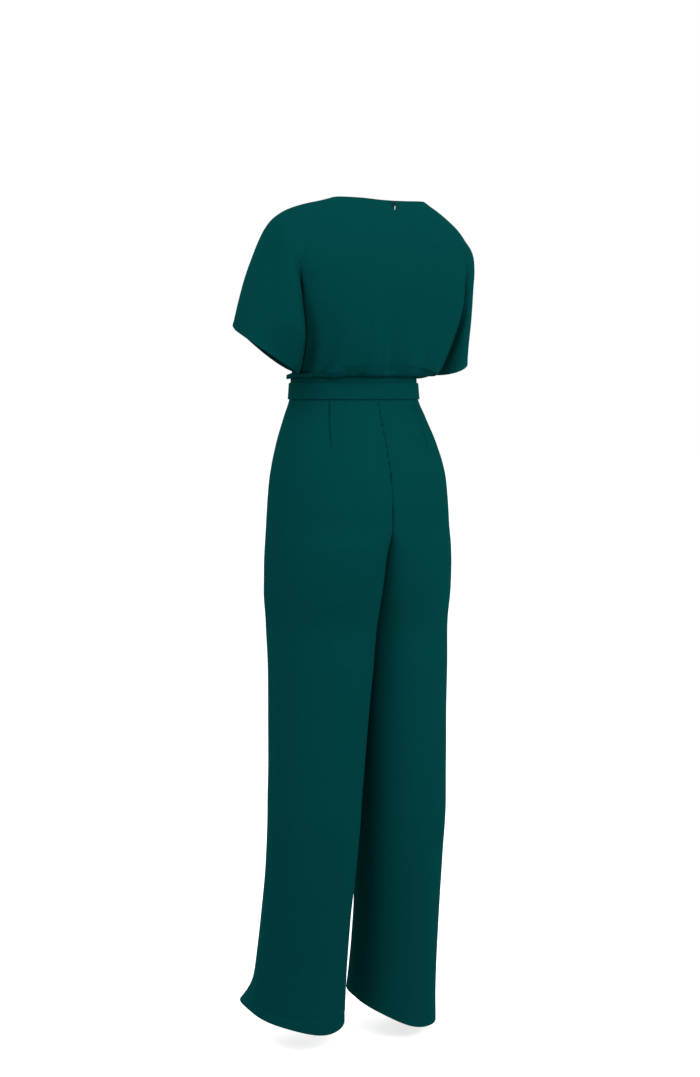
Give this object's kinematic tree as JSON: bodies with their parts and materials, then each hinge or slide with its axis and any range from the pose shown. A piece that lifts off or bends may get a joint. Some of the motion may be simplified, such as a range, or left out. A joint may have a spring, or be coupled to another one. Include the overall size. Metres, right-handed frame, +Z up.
{
  "type": "jumpsuit",
  "caption": "Worn jumpsuit shell with loose kimono sleeves, a bodice bloused over a belted waist, wide full-length legs and a closed back zip.",
  "frame": {"origin": "middle of the neck opening, level with the shoulders, where the wearer holds the garment up", "axes": "+Z up the worn garment, -Y to its front, +X to the wearer's left"},
  "size_m": [0.4598, 0.3063, 1.5471],
  "materials": {
    "crepe": "matte dark green crepe",
    "zip_tape": "dark green woven tape with a coil chain",
    "zip_metal": "plain bright metal"
  },
  "bodies": {
    "garment": {"bodice_back_left": "crepe", "bodice_back_right": "crepe", "bodice_front": "crepe", "waistband": "crepe", "belt": "crepe", "trouser_back_left": "crepe", "trouser_back_right": "crepe", "trouser_front_left": "crepe", "trouser_front_right": "crepe", "zip_chain": "zip_tape", "zip_slider": "zip_metal"},
    "zip_pull": {"zip_pull_tab": "zip_metal"}
  },
  "joints": [
    {"name": "pull_hinge", "type": "hinge", "parent": "garment", "child": "zip_pull", "pos_m": [0.00084, 0.06521, -0.01197], "axis": [0.9856, -0.0727, 0.1524], "range_deg": [0, 150]}
  ]
}
